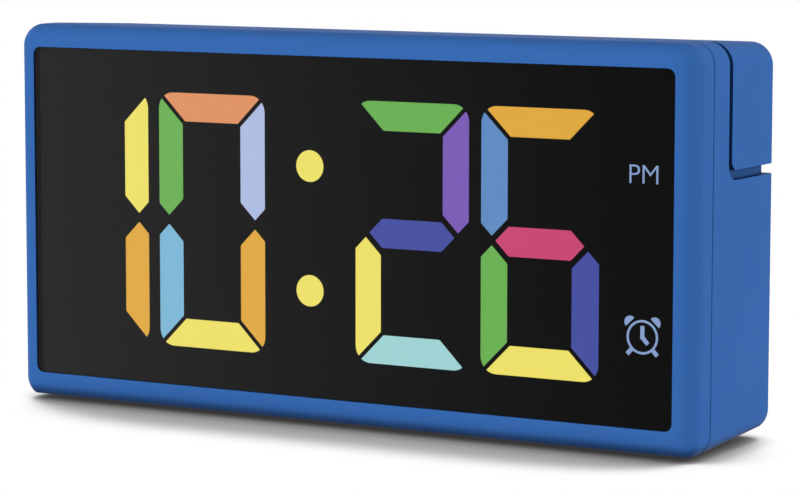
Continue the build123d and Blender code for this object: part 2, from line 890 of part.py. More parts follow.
def button(name):
    """A round rear button with a flange inside the wall and a stem down to its switch."""
    x = button_places[name]
    body = rod_y(button_diameter, x, button_row_z, flange_top_y, button_top_y)
    body = chamfer(body.faces().sort_by(Axis.Y)[-1].edges(), button_crown)
    body += rod_y(button_flange, x, button_row_z, flange_under_y, flange_top_y)
    return body + rod_y(button_stem, x, button_row_z, stem_end_y, flange_under_y)


def button_board():
    """The board behind the control panel."""
    outline = rounded(button_board_width, button_board_height, board_corner, panel_x, panel_z)
    body = prism_y(outline, button_board_front_y, button_board_y)
    hole_from = button_board_front_y - cut_overrun
    hole_to = button_board_y + cut_overrun
    for x in (panel_x - standoff_x, panel_x + standoff_x):
        for z in (panel_z - standoff_z, panel_z + standoff_z):
            body -= rod_y(screw_diameter, x, z, hole_from, hole_to)
    return body


def alarm_switch():
    """The slide switch for the alarm, with a slot for its slider."""
    top = button_board_y + slide_switch_height
    long = slide_switch_length / 2
    wide = slide_switch_width / 2
    body = block(knob_x - long, knob_x + long, button_board_y, top, lower_row_z - wide, lower_row_z + wide)
    slot_long = (knob_neck_width + knob_travel) / 2 + knob_gap
    slot_wide = knob_neck_height / 2 + knob_gap
    return body - block(
        knob_x - slot_long, knob_x + slot_long,
        top - slide_slot_depth, top + cut_overrun,
        lower_row_z - slot_wide, lower_row_z + slot_wide,
    )


def alarm_knob():
    """The alarm switch's knob, at rest at its low-X end, with three grip ribs."""
    x = knob_x - knob_travel / 2
    foot_y = button_board_y + slide_switch_height - slide_slot_depth + knob_gap
    grip_from = panel_face_y + knob_gap
    grip_to = grip_from + knob_thickness
    neck = knob_neck_width / 2
    body = block(
        x - neck, x + neck,
        foot_y, grip_from,
        lower_row_z - knob_neck_height / 2, lower_row_z + knob_neck_height / 2,
    )
    wide = knob_width / 2
    tall = knob_height / 2
    body += block(x - wide, x + wide, grip_from, grip_to, lower_row_z - tall, lower_row_z + tall)
    for step in (-1, 0, 1):
        rib_x = x + step * knob_width / 4
        rib = knob_rib_width / 2
        rib_top = grip_to - knob_rib_height
        body -= block(
            rib_x - rib, rib_x + rib,
            rib_top, grip_to + cut_overrun,
            lower_row_z - tall, lower_row_z + tall,
        )
    return body


def power_socket():
    """The supply inlet: a block with a round bore and a middle pin."""
    wide = socket_width / 2
    tall = socket_height / 2
    body = block(
        socket_x - wide, socket_x + wide,
        button_board_y, panel_inner_y,
        lower_row_z - tall, lower_row_z + tall,
    )
    floor = panel_inner_y - socket_bore_depth
    body -= rod_y(socket_bore, socket_x, lower_row_z, floor, panel_inner_y + cut_overrun)
    return body + rod_y(socket_pin, socket_x, lower_row_z, floor, floor + socket_pin_length)


def buzzer():
    """The sounder's can, with a port towards the sound holes."""
    top = button_board_y + buzzer_height
    body = rod_y(buzzer_diameter, buzzer_x, lower_row_z, button_board_y, top)
    return body - rod_y(buzzer_port, buzzer_x, lower_row_z, top - buzzer_height / 2, top + cut_overrun)


def battery_door():
    """The door over the battery well, with a thumb notch and two locating ribs inside the well."""
    outline = rounded(door_width, door_height, door_corner, well_x, well_z)
    body = prism_y(outline, door_inner_y, rear_y)
    notch_z = well_z + door_height / 2 - door_notch_height
    notch = Pos(well_x, notch_z) * SlotOverall(door_notch_width, door_notch_height)
    body -= prism_y(notch, rear_y - door_notch_depth, rear_y + cut_overrun)
    reach = well_height / 2 - door_fit
    for side in (-1, 1):
        x = well_x + side * (well_width / 2 - door_fit - door_rib / 2)
        body += block(
            x - door_rib / 2, x + door_rib / 2,
            door_inner_y - door_rib_height, door_inner_y,
            well_z - reach, well_z + reach,
        )
    return body


def battery_cells():
    """Two cells that lie side by side, turned end for end."""
    cells = []
    for end in (-1, 1):
        z = well_z + end * cell_rise
        plain = well_x - end * cell_length / 2
        shoulder = well_x + end * (cell_length / 2 - cell_nub_length)
        tip = well_x + end * cell_length / 2
        body = rod_x(cell_diameter, cell_y, z, min(plain, shoulder), max(plain, shoulder))
        cells.append(body + rod_x(cell_nub_diameter, cell_y, z, min(shoulder, tip), max(shoulder, tip)))
    return cells


def battery_contacts():
    """A plate and a bump at each end of each cell. The right-hand plates have a pin through the wall."""
    contacts = []
    for end in (-1, 1):
        wall = well_x + end * well_width / 2
        plate = wall - end * contact_plate
        tip = well_x + end * cell_length / 2
        for rise in (-cell_rise, cell_rise):
            z = well_z + rise
            tall = cell_diameter / 2 - cell_gap
            low_y = well_floor_y
            high_y = cell_y + contact_bump / 2
            body = block(min(wall, plate), max(wall, plate), low_y, high_y, z - tall, z + tall)
            body += rod_x(contact_bump, cell_y, z, min(tip, plate), max(tip, plate))
            if end > 0:
                body += rod_x(lead_diameter, lead_y, z, wall, wall + well_wall + lead_pin_length)
            contacts.append(body)
    return contacts


def battery_leads():
    """Two straight wires from the well's pins to the button board."""
    start = well_x + well_width / 2 + well_wall + lead_pin_length
    finish = panel_x - standoff_x - standoff_diameter / 2 - lead_end_gap
    return [rod_x(lead_diameter, lead_y, well_z + rise, start, finish) for rise in (-cell_rise, cell_rise)]


def board_headers():
    """The ribbon's two headers, one on the display board and one on the button board."""
    long = header_length / 2
    wide = header_width / 2
    places = (
        (board_back_y, board_back_y + header_height),
        (button_board_front_y - header_height, button_board_front_y),
    )
    return [block(panel_x - long, panel_x + long, a, b, panel_z - wide, panel_z + wide) for a, b in places]


def board_ribbon():
    """The flat cable between the two headers."""
    wide = ribbon_width / 2
    thick = ribbon_thickness / 2
    y_from = board_back_y + header_height
    y_to = button_board_front_y - header_height
    return block(panel_x - wide, panel_x + wide, y_from, y_to, panel_z - thick, panel_z + thick)


def rubber_feet():
    """Four soft discs let into the housing's floor."""
    feet = []
    for x in (-foot_x, foot_x):
        for y in (foot_y_front, foot_y_rear):
            foot = rod_z(foot_diameter, x, y, 0, base_height(y) + foot_seat)
            feet.append(fillet(foot.faces().sort_by(Axis.Z)[0].edges(), foot_round))
    return feet


def case_screws():
    """Two long screws from the rear into the bezel's lower bosses."""
    length = case_screw_seat_y - board_front_y + screw_grip
    sizes = (screw_head, screw_head_height, screw_diameter, length)
    return [screw_along(x, case_screw_seat_y, boss_low_z, (0, -1, 0), *sizes) for x in (-boss_x, boss_x)]


def board_screws():
    """Two screws that hold the top of the display board to the bezel."""
    sizes = (screw_head, screw_head_height, screw_diameter, board_thickness + screw_grip)
    return [screw_along(x, board_back_y, boss_high_z, (0, -1, 0), *sizes) for x in (-boss_x, boss_x)]


def button_board_screws():
    """Four screws from the front into the standoffs."""
    sizes = (screw_head, screw_head_height, screw_diameter, board_thickness + screw_grip)
    return [
        screw_along(x, button_board_front_y, z, (0, 1, 0), *sizes)
        for x in (panel_x - standoff_x, panel_x + standoff_x)
        for z in (panel_z - standoff_z, panel_z + standoff_z)
    ]


def snooze_board_screws():
    """Two screws from below into the deck's pillars."""
    sizes = (screw_head, screw_head_height, screw_diameter, board_thickness + screw_grip)
    return [screw_along(x, snooze_y, snooze_board_under_z, (0, 0, 1), *sizes) for x in (-pillar_x, pillar_x)]


def driver_chips():
    """Two display drivers side by side."""
    z = mid_z - driver_drop
    places = (-chip_shift - driver_pitch / 2, -chip_shift + driver_pitch / 2)
    return [legged_chip(x, z, driver_length, driver_width, driver_leg_count) for x in places]


os.makedirs("parts", exist_ok=True)
save("front_bezel", front_bezel())
save("display_lens", display_lens())
save("segment_mask", segment_mask())
for window_node, outlines in windows.items():
    save(window_node, *[prism_y(outline, mask_front_y, mask_back_y) for outline in outlines])
save("light_box", light_box())
save("display_board", display_board())
save("segment_leds", *segment_leds())
save("clock_chip", legged_chip(-chip_shift, mid_z + chip_rise, chip_side, chip_side, chip_leg_count))
save("driver_chips", *driver_chips())
save("quartz_crystal", quartz_crystal())
save("reservoir_capacitor", reservoir_capacitor())
save("rear_housing", rear_housing())
save("snooze_cap", snooze_cap())
save("cap_screws", *cap_screws())
save("snooze_board", snooze_board())
save("snooze_switch", snooze_seat * switch_body())
save("snooze_plunger", snooze_seat * plunger())
save("snooze_flex", snooze_flex())
save("snooze_board_screws", *snooze_board_screws())
save("button_board", button_board())
save("button_switches", *[button_seat(name) * switch_body() for name in button_places])
for button_name in button_places:
    save(f"{button_name}_button", button(button_name))
    save(f"{button_name}_plunger", button_seat(button_name) * plunger())
save("button_board_screws", *button_board_screws())
save("alarm_switch", alarm_switch())
save("alarm_knob", alarm_knob())
save("power_socket", power_socket())
save("buzzer", buzzer())
save("battery_door", battery_door())
save("battery_cells", *battery_cells())
save("battery_contacts", *battery_contacts())
save("battery_leads", *battery_leads())
save("board_headers", *board_headers())
save("board_ribbon", board_ribbon())
save("rubber_feet", *rubber_feet())
save("case_screws", *case_screws())
save("board_screws", *board_screws())
print("case", round(case_width, 2), round(case_depth, 2), round(top_z, 2))
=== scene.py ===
# %% [markdown]
# # A bedside digital alarm clock
# The clock was drawn in CAD first, and its pieces are loaded here as a fixed frame, in metres.
# The front looks along -Y, X runs to the right as seen from the front, and Z is up.
# This lesson gives every piece its finish, models what CAD left plain, and sets up the light and the camera.

# %% Load the frame
import json
from math import cos, radians, sin

import bpy
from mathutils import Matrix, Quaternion, Vector


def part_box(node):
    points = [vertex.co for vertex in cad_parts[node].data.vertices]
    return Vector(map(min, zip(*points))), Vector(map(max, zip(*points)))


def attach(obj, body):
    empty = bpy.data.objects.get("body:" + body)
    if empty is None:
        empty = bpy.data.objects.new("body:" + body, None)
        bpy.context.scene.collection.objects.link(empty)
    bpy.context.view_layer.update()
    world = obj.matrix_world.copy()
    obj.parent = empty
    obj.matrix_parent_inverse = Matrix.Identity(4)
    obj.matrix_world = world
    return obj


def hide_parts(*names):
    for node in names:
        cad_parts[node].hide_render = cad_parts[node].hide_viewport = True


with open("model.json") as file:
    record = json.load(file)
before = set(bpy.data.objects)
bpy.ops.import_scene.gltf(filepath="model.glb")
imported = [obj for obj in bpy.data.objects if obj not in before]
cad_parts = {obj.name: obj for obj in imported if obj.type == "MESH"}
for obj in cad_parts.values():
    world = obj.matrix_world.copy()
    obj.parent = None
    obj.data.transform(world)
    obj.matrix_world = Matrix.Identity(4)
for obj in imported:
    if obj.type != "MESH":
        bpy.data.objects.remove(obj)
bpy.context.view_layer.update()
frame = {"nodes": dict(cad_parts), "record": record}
nodes = frame["nodes"]
print("loaded", len(nodes), "CAD nodes")

# %% [markdown]
# ## Camera
# A small product is photographed from well back with a long lens, so that its sides stay nearly parallel.
# The camera could be dragged into place by eye, but an aim point, two angles and a distance are easier
# to keep. The lens length follows from the picture's width in pixels, because the angle of view has to
# stay the same.

# %% Camera
picture_width = 800
focal_pixels = 3217.6
sensor_width = 36
camera_aim = Vector((0.00869, -0.00785, 0.03524))
camera_distance = 0.626
camera_azimuth = radians(30.06)
camera_elevation = radians(6.64)
camera_roll = radians(0.07)
nearest_seen = 0.01
farthest_seen = 50

away = Vector((
    sin(camera_azimuth) * cos(camera_elevation),
    -cos(camera_azimuth) * cos(camera_elevation),
    sin(camera_elevation),
))
turn = (-away).to_track_quat("-Z", "Y") @ Quaternion((0, 0, 1), camera_roll)
bpy.ops.object.camera_add(location=camera_aim + away * camera_distance, rotation=turn.to_euler())
camera = bpy.context.object
camera.data.sensor_width = sensor_width
camera.data.lens = focal_pixels / picture_width * sensor_width
camera.data.clip_start = nearest_seen
camera.data.clip_end = farthest_seen
camera.data.dof.use_dof = False
bpy.context.scene.camera = camera
bpy.context.scene.view_settings.view_transform = "Standard"
print("camera lens", round(camera.data.lens, 1), "mm at", [round(v, 3) for v in camera.location])

# %% [markdown]
# ## Studio light
# The clock stands on white paper in a bright tent. Most of the light comes from the front and the sides,
# so the rounded top and bottom edges are a little darker than the front.
# A world whose brightness follows the direction gives that without any card that could turn up in other
# views. Rays that go straight from the camera see plain white, so the background stays white from every side.

# %% Tent light
level_light = 0.62
overhead_light = 0.25
overhead_from = 0.1
overhead_to = 0.8

world = bpy.data.worlds.new("studio")
bpy.context.scene.world = world
world.use_nodes = True
tree = world.node_tree
tree.nodes.clear()
direction = tree.nodes.new("ShaderNodeTexCoord")
height = tree.nodes.new("ShaderNodeSeparateXYZ")
tree.links.new(direction.outputs["Generated"], height.inputs["Vector"])
tent_light = tree.nodes.new("ShaderNodeMapRange")
tent_light.interpolation_type = "SMOOTHSTEP"
tent_light.inputs["From Min"].default_value = overhead_from
tent_light.inputs["From Max"].default_value = overhead_to
tent_light.inputs["To Min"].default_value = level_light
tent_light.inputs["To Max"].default_value = overhead_light
tree.links.new(height.outputs["Z"], tent_light.inputs["Value"])
print("tent from", level_light, "at the sides to", overhead_light, "overhead")

# %% [markdown]
# ### Mirrored room
# A black lens shows what stands in front of it, and in the photograph that is a dark room behind the camera,
# which fades to white paper at the left. Mirrors and glass get that room as their own picture,
# white all round and dark on one side only.

# %% Mirrored room
dark_side = (0.5, -0.866, 0)
dark_from = 0
dark_to = 0.61
dark_level = 0.06

facing = tree.nodes.new("ShaderNodeVectorMath")
facing.operation = "DOT_PRODUCT"
facing.inputs[1].default_value = dark_side
tree.links.new(direction.outputs["Generated"], facing.inputs[0])
room = tree.nodes.new("ShaderNodeMapRange")
room.interpolation_type = "SMOOTHSTEP"
room.inputs["From Min"].default_value = dark_from
room.inputs["From Max"].default_value = dark_to
room.inputs["To Min"].default_value = 1
room.inputs["To Max"].default_value = dark_level
tree.links.new(facing.outputs["Value"], room.inputs["Value"])
print("mirrored room made, dark level", dark_level)

# %% [markdown]
# ### Which ray sees which light
# Matt surfaces are lit by the tent, mirrors and glass see the room, and the camera sees plain white.
# Three worlds can't be used at once, but a light path node tells these rays apart, so one world serves all.

# %% Which ray sees which light
white = (1, 1, 1, 1)

ray = tree.nodes.new("ShaderNodeLightPath")
mirrored = tree.nodes.new("ShaderNodeMath")
mirrored.operation = "MAXIMUM"
tree.links.new(ray.outputs["Is Glossy Ray"], mirrored.inputs[0])
tree.links.new(ray.outputs["Is Transmission Ray"], mirrored.inputs[1])
strength = tree.nodes.new("ShaderNodeMix")
tree.links.new(mirrored.outputs["Value"], strength.inputs["Factor"])
tree.links.new(tent_light.outputs["Result"], strength.inputs["A"])
tree.links.new(room.outputs["Result"], strength.inputs["B"])

tent = tree.nodes.new("ShaderNodeBackground")
paper = tree.nodes.new("ShaderNodeBackground")
tent.inputs["Color"].default_value = white
paper.inputs["Color"].default_value = white
tree.links.new(strength.outputs["Result"], tent.inputs["Strength"])
either = tree.nodes.new("ShaderNodeMixShader")
out = tree.nodes.new("ShaderNodeOutputWorld")
tree.links.new(ray.outputs["Is Camera Ray"], either.inputs["Fac"])
tree.links.new(tent.outputs["Background"], either.inputs[1])
tree.links.new(paper.outputs["Background"], either.inputs[2])
tree.links.new(either.outputs["Shader"], out.inputs["Surface"])
print("world has", len(tree.nodes), "nodes")

# %% [markdown]
# ### Three lamps
# One soft lamp at the left gives the front its colour and one at the right does the same for the side,
# and the rounded edge between the two stays a little darker, which is how the eye reads it as round.
# A third, weaker one reaches the back and the left side, which only other views show.
# A sun lamp with a wide angle does that from any distance.
# All are kept out of mirrors, because the lens would show them as bright discs.

# %% Three lamps
lamp_spread = radians(22)
lamps = {
    "front_lamp": (2.85, Vector((-0.2, -1, 0.1))),
    "side_lamp": (2.5, Vector((1, 0.7, 0.2))),
    "rear_lamp": (1.3, Vector((-1, 0.8, 0.25))),
}

for lamp_name, (lamp_strength, lamp_direction) in lamps.items():
    bpy.ops.object.light_add(type="SUN", location=lamp_direction)
    lamp = bpy.context.object
    lamp.name = lamp_name
    lamp.rotation_euler = lamp_direction.to_track_quat("Z", "Y").to_euler()
    lamp.data.energy = lamp_strength
    lamp.data.angle = lamp_spread
    lamp.visible_glossy = False
    lamp.visible_transmission = False
    print(lamp_name, lamp_strength)

# %% [markdown]
# ## Floor
# The paper under the clock is plain white and runs on to the horizon, so no edge of it shows.
# A curved sweep is what a studio uses, but with a white background one large plane looks the same.
# It is kept out of mirrors and glass, so that the lens shows only the room.

# %% Floor
floor_size = 16

bpy.ops.mesh.primitive_plane_add(size=floor_size)
floor = bpy.context.object
floor.name = "floor"
floor.visible_glossy = False
floor.visible_transmission = False
print("floor", floor_size, "m")

# %% [markdown]
# ### Drop shadow
# The photograph's shadow is short and soft, and falls forward and to the right, away from a lamp behind
# the clock. A real lamp there would also change the light on the case, so the shadow is painted on the paper.
# Ambient occlusion that looks only towards that lamp finds how much of it the clock hides, and a second,
# shorter one finds the paper close to the case.

# %% Drop shadow
shadow_reach = 0.045
contact_reach = 0.012
shadow_samples = 48
lamp_side = (-0.3, 0.6, 0.7)

sheet = bpy.data.materials.new("white_paper")
sheet.use_nodes = True
tree = sheet.node_tree
tree.nodes.clear()
towards = tree.nodes.new("ShaderNodeCombineXYZ")
for axis, part in zip("XYZ", lamp_side):
    towards.inputs[axis].default_value = part
lamp_seen = tree.nodes.new("ShaderNodeAmbientOcclusion")
lamp_seen.inputs["Distance"].default_value = shadow_reach
lamp_seen.samples = shadow_samples
tree.links.new(towards.outputs["Vector"], lamp_seen.inputs["Normal"])
contact = tree.nodes.new("ShaderNodeAmbientOcclusion")
contact.inputs["Distance"].default_value = contact_reach
contact.samples = shadow_samples
print("shadow reaches", shadow_reach, "m and", contact_reach, "m")

# %% [markdown]
# ### Paper
# A ramp turns each occlusion into a painted shadow tone of the paper, dark under the clock and white further
# out.
# The camera sees the product of both tones. All other rays meet plain matt paper, which throws a little
# light back on the case. A mix node's colour sockets share their names with others, so they go by number.

# %% Paper
floor_tone = 0.4
shadow_tones = (
    (0.12, 0.16), (0.28, 0.25), (0.37, 0.31), (0.42, 0.36), (0.48, 0.46),
    (0.52, 0.63), (0.56, 0.82), (0.6, 0.95), (0.65, 1),
)
contact_tones = ((0.05, 0.2), (0.45, 0.6), (0.75, 1))
ramp_middle = 0.5
mix_a = 6
mix_b = 7
mix_result = 2


def ramp(source, tones):
    """A ramp through the given places and tones."""
    node = tree.nodes.new("ShaderNodeValToRGB")
    stops = node.color_ramp.elements
    while len(stops) < len(tones):
        stops.new(ramp_middle)
    for stop, (place, value) in zip(stops, tones):
        stop.position = place
        stop.color = (value, value, value, 1)
    tree.links.new(source, node.inputs["Fac"])
    return node.outputs["Color"]


painted_shadow = tree.nodes.new("ShaderNodeMix")
painted_shadow.data_type = "RGBA"
painted_shadow.blend_type = "MULTIPLY"
painted_shadow.inputs[0].default_value = 1
tree.links.new(ramp(lamp_seen.outputs["AO"], shadow_tones), painted_shadow.inputs[mix_a])
tree.links.new(ramp(contact.outputs["AO"], contact_tones), painted_shadow.inputs[mix_b])
# the camera sees the painted shadow as the paper's own glow
shown = tree.nodes.new("ShaderNodeEmission")
tree.links.new(painted_shadow.outputs[mix_result], shown.inputs["Color"])
matt = tree.nodes.new("ShaderNodeBsdfDiffuse")
matt.inputs["Color"].default_value = (floor_tone, floor_tone, floor_tone, 1)
ray = tree.nodes.new("ShaderNodeLightPath")
either = tree.nodes.new("ShaderNodeMixShader")
out = tree.nodes.new("ShaderNodeOutputMaterial")
tree.links.new(ray.outputs["Is Camera Ray"], either.inputs["Fac"])
tree.links.new(matt.outputs["BSDF"], either.inputs[1])
tree.links.new(shown.outputs["Emission"], either.inputs[2])
tree.links.new(either.outputs["Shader"], out.inputs["Surface"])
floor.data.materials.append(sheet)
print("paper has", len(tree.nodes), "nodes")

# %% [markdown]
# ## Finishes
# A colour is easiest to write as it is read on a screen, from 0 to 255, but shaders want linear light.
# One helper turns the first into the second. Another starts a material and hands back its node tree,
# so that each finish only has to add what makes it different.

# %% Colours and materials
screen_white = 255


def screen(red, green, blue):
    """A colour read on a screen, as linear light, by the usual curve of screens."""
    linear = []
    for part in (red, green, blue):
        share = part / screen_white
        linear.append(share / 12.92 if share <= 0.04045 else ((share + 0.055) / 1.055) ** 2.4)
    return (*linear, 1)


def shaded(colour, share):
    """The same colour, lighter or darker."""
    return (*[part * share for part in colour[:3]], 1)


def new_finish(name, roughness, metallic=0):
    """A material with a plain shader: its node tree, its shader and its Object coordinates."""
    finish = bpy.data.materials.new(name)
    finish.use_nodes = True
    tree = finish.node_tree
    shader = tree.nodes["Principled BSDF"]
    shader.inputs["Roughness"].default_value = roughness
    shader.inputs["Metallic"].default_value = metallic
    place = tree.nodes.new("ShaderNodeTexCoord")
    return finish, tree, shader, place.outputs["Object"]


print("screen white as light", screen(screen_white, screen_white, screen_white))

# %% [markdown]
# ### Noise
# No real surface is quite even. Its tone, its sheen and its height all vary a little, and noise is the plain
# way to vary them without a picture. Each helper takes the noise to one kind of socket: a colour, a number
# or a bump. All use Object coordinates, so the pattern has the same size on every piece.

# %% Noise
noise_low = 0.3
noise_high = 0.7


def noise(tree, place, size, detail=2):
    """Noise whose lumps are about as large as the given size, in metres."""
    node = tree.nodes.new("ShaderNodeTexNoise")
    node.inputs["Scale"].default_value = 1 / size
    node.inputs["Detail"].default_value = detail
    tree.links.new(place, node.inputs["Vector"])
    return node.outputs["Fac"]


def tone(tree, factor, dark, light, socket):
    """Runs a colour between two tones."""
    mix = tree.nodes.new("ShaderNodeMix")
    mix.data_type = "RGBA"
    mix.inputs[mix_a].default_value = dark
    mix.inputs[mix_b].default_value = light
    tree.links.new(factor, mix.inputs[0])
    tree.links.new(mix.outputs[mix_result], socket)


def spread(tree, factor, low, high, socket):
    """Runs a number between two values as noise does, which keeps mostly to its middle."""
    node = tree.nodes.new("ShaderNodeMapRange")
    node.inputs["From Min"].default_value = noise_low
    node.inputs["From Max"].default_value = noise_high
    node.inputs["To Min"].default_value = low
    node.inputs["To Max"].default_value = high
    tree.links.new(factor, node.inputs["Value"])
    tree.links.new(node.outputs["Result"], socket)


def grain(tree, factor, depth, shader):
    """A bump of the given depth, in metres."""
    node = tree.nodes.new("ShaderNodeBump")
    node.inputs["Strength"].default_value = 1
    node.inputs["Distance"].default_value = depth
    tree.links.new(factor, node.inputs["Height"])
    tree.links.new(node.outputs["Normal"], shader.inputs["Normal"])


print("noise used from", noise_low, "to", noise_high)

# %% [markdown]
# ### Painted shade in joints
# Seams and slots lie in shade, so they look darker than the faces beside them. That shade is painted
# into the colour. It could be painted on joint by joint, but short ambient occlusion finds every joint by
# itself, and a multiply darkens the colour there.

# %% Painted shade in joints
joint_reach = 0.004
joint_closed = 0.3
joint_open = 0.85
joint_dark = 0.35


def painted_joint_shade(tree, socket):
    """Paints shade into the colour that reaches a socket, deep in joints and slots."""
    plain = socket.links[0].from_socket
    nearness = tree.nodes.new("ShaderNodeAmbientOcclusion")
    nearness.inputs["Distance"].default_value = joint_reach
    depth = tree.nodes.new("ShaderNodeMapRange")
    depth.inputs["From Min"].default_value = joint_closed
    depth.inputs["From Max"].default_value = joint_open
    depth.inputs["To Min"].default_value = joint_dark
    depth.inputs["To Max"].default_value = 1
    tree.links.new(nearness.outputs["AO"], depth.inputs["Value"])
    mix = tree.nodes.new("ShaderNodeMix")
    mix.data_type = "RGBA"
    mix.blend_type = "MULTIPLY"
    mix.inputs[0].default_value = 1
    tree.links.new(plain, mix.inputs[mix_a])
    tree.links.new(depth.outputs["Result"], mix.inputs[mix_b])
    tree.links.new(mix.outputs[mix_result], socket)


print("joints shaded within", joint_reach, "m")

# %% [markdown]
# ### Moulded plastic
# The case is satin plastic from a spark-eroded mould, which leaves a very fine grain and a slightly uneven
# sheen. A flat colour would look like paint. Fine noise in the bump and broad noise in the tone and the
# roughness keep it calm and still give the light something to catch.

# %% Moulded plastic
cloud_size = 0.03
cloud_swing = 0.05
sheen_size = 0.008
sheen_detail = 4
sheen_swing = 0.04


def moulded(name, colour, roughness, shine=0.3, grain_size=0.0003, grain_depth=0.000002, joints=False):
    """Satin moulded plastic with a fine grain."""
    finish, tree, shader, place = new_finish(name, roughness)
    shader.inputs["Specular IOR Level"].default_value = shine
    dark = shaded(colour, 1 - cloud_swing)
    light = shaded(colour, 1 + cloud_swing)
    tone(tree, noise(tree, place, cloud_size), dark, light, shader.inputs["Base Color"])
    # painted shade: the colour is darkened in joints and slots
    if joints:
        painted_joint_shade(tree, shader.inputs["Base Color"])
    sheen = noise(tree, place, sheen_size, sheen_detail)
    spread(tree, sheen, roughness - sheen_swing, roughness + sheen_swing, shader.inputs["Roughness"])
    grain(tree, noise(tree, place, grain_size), grain_depth, shader)
    return finish


finishes = {
    "case_blue": moulded("case_blue", screen(54, 102, 171), 0.5, shine=0.02, joints=True),
    "key_blue": moulded("key_blue", screen(42, 86, 152), 0.42, shine=0.06),
    "knob_black": moulded("knob_black", screen(30, 30, 32), 0.4),
    "chip_black": moulded("chip_black", screen(24, 24, 26), 0.5),
    "box_white": moulded("box_white", screen(232, 232, 228), 0.5),
    "foot_rubber": moulded(
        "foot_rubber", screen(32, 32, 34), 0.75, shine=0.2, grain_size=0.0005, grain_depth=0.00002),
    "lead_red": moulded("lead_red", screen(170, 40, 36), 0.5),
    "ribbon_grey": moulded("ribbon_grey", screen(150, 152, 155), 0.5),
    "cell_sleeve": moulded("cell_sleeve", screen(196, 200, 204), 0.3),
    "mask_black": moulded("mask_black", screen(20, 20, 22), 0.8, shine=0.02),
    "unlit_film": moulded("unlit_film", screen(20, 20, 22), 0.8, shine=0.02),
    "led_cream": moulded("led_cream", screen(240, 232, 190), 0.25),
}
print("moulded finishes", len(finishes))

# %% [markdown]
# ### Light films
# Behind each window of the display a coloured film glows evenly, so the segments look flat and crisp.
# Lamps behind real films would be slow and noisy to render. A shader that emits its own colour at a
# strength of one shows that colour as written, whatever the light in the room does.

# %% Light films
film_roughness = 0.5
film_cloud = 0.002
film_dark = 0.25
film_light = 0.35


def light_film(name, colour):
    """A film that glows in its own colour."""
    finish, tree, shader, place = new_finish(name, film_roughness)
    dark = shaded(colour, film_dark)
    light = shaded(colour, film_light)
    tone(tree, noise(tree, place, film_cloud), dark, light, shader.inputs["Base Color"])
    shader.inputs["Emission Color"].default_value = colour
    shader.inputs["Emission Strength"].default_value = 1
    return finish


film_colours = {
    "yellow_light": screen(247, 233, 108),
    "amber_light": screen(233, 175, 63),
    "green_light": screen(110, 183, 85),
    "orange_light": screen(232, 152, 101),
    "pale_blue_light": screen(181, 196, 234),
    "sky_blue_light": screen(130, 190, 222),
    "violet_light": screen(129, 94, 188),
    "indigo_light": screen(71, 81, 166),
    "aqua_light": screen(166, 219, 219),
    "blue_light": screen(98, 145, 201),
    "magenta_light": screen(209, 71, 120),
    "legend_light": screen(140, 165, 210),
}
for film_name, film_colour in film_colours.items():
    finishes[film_name] = light_film(film_name, film_colour)
print("light films", len(film_colours))

# %% [markdown]
# ### Lens
# The lens is a polished acrylic plate. It lets the films' light through and mirrors the room a little.
# A glass shader with acrylic's refractive index does both. Its slight smoke tint is a plain colour.

# %% Lens
lens_roughness = 0.02
lens_tint = (0.93, 0.935, 0.94, 1)
acrylic_index = 1.49

lens_finish = new_finish("lens_smoke", lens_roughness)[0]
lens_shader = lens_finish.node_tree.nodes["Principled BSDF"]
lens_shader.inputs["Base Color"].default_value = lens_tint
lens_shader.inputs["Transmission Weight"].default_value = 1
lens_shader.inputs["IOR"].default_value = acrylic_index
finishes["lens_smoke"] = lens_finish
print("lens finish made")

# %% [markdown]
# ### Metal
# The contacts are tinned and the screws are zinc-plated. Grey paint would look like plastic, so metal gets
# its metallic value at one, and fine noise in its roughness, because real plating is never evenly bright.

# %% Metal
tarnish_size = 0.004
tarnish_dark = 0.9
streak_size = 0.0006
streak_detail = 4
streak_swing = 0.08


def plated(name, colour, roughness):
    """Plated metal with an uneven shine."""
    finish, tree, shader, place = new_finish(name, roughness, 1)
    dark = shaded(colour, tarnish_dark)
    tone(tree, noise(tree, place, tarnish_size), dark, colour, shader.inputs["Base Color"])
    streaks = noise(tree, place, streak_size, streak_detail)
    spread(tree, streaks, roughness - streak_swing, roughness + streak_swing, shader.inputs["Roughness"])
    return finish


finishes["tin_plate"] = plated("tin_plate", screen(200, 202, 205), 0.3)
finishes["screw_steel"] = plated("screw_steel", screen(175, 178, 182), 0.35)
print("plated finishes made")

# %% [markdown]
# ### Boards
# A circuit board is green solder mask over copper. Its tracks could be drawn one by one, but they are hardly
# seen inside the case. The square cells of a Voronoi pattern stand for the copper below the mask.

# %% Boards
mask_roughness = 0.3
copper_cell = 0.004
bare_tone = 0.7
copper_tone = 1.2


def circuit_board(name, colour):
    """Solder mask over copper, darker where there is no copper below."""
    finish, tree, shader, place = new_finish(name, mask_roughness)
    cells = tree.nodes.new("ShaderNodeTexVoronoi")
    cells.distance = "CHEBYCHEV"
    cells.inputs["Scale"].default_value = 1 / copper_cell
    tree.links.new(place, cells.inputs["Vector"])
    dark = shaded(colour, bare_tone)
    light = shaded(colour, copper_tone)
    tone(tree, cells.outputs["Distance"], dark, light, shader.inputs["Base Color"])
    return finish


finishes["board_green"] = circuit_board("board_green", screen(28, 86, 52))
print("finishes in all", len(finishes))

# %% [markdown]
# ## Dress the CAD nodes
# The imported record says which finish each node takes, so a loop can hand them out.
# A node keeps its mesh as it is; only its material changes.

# %% Dress the CAD nodes
for part in frame["record"]["subparts"]:
    mesh = nodes[part["node"]].data
    mesh.materials.clear()
    mesh.materials.append(finishes[part["material_slot"]])

# %% [markdown]
# ## Indicators
# At the right of the display a lit word and a lit alarm sign stand on the dark mask. In CAD each is one
# plain window. Here every window gets a dark plate, and the word and the sign are thin lit films just
# in front of it.
# A picture would do it from the front, but an image blurs close up and can't be seen from the side.
# The films stay behind the lens with a hair of air between, because faces that touch glass render badly.

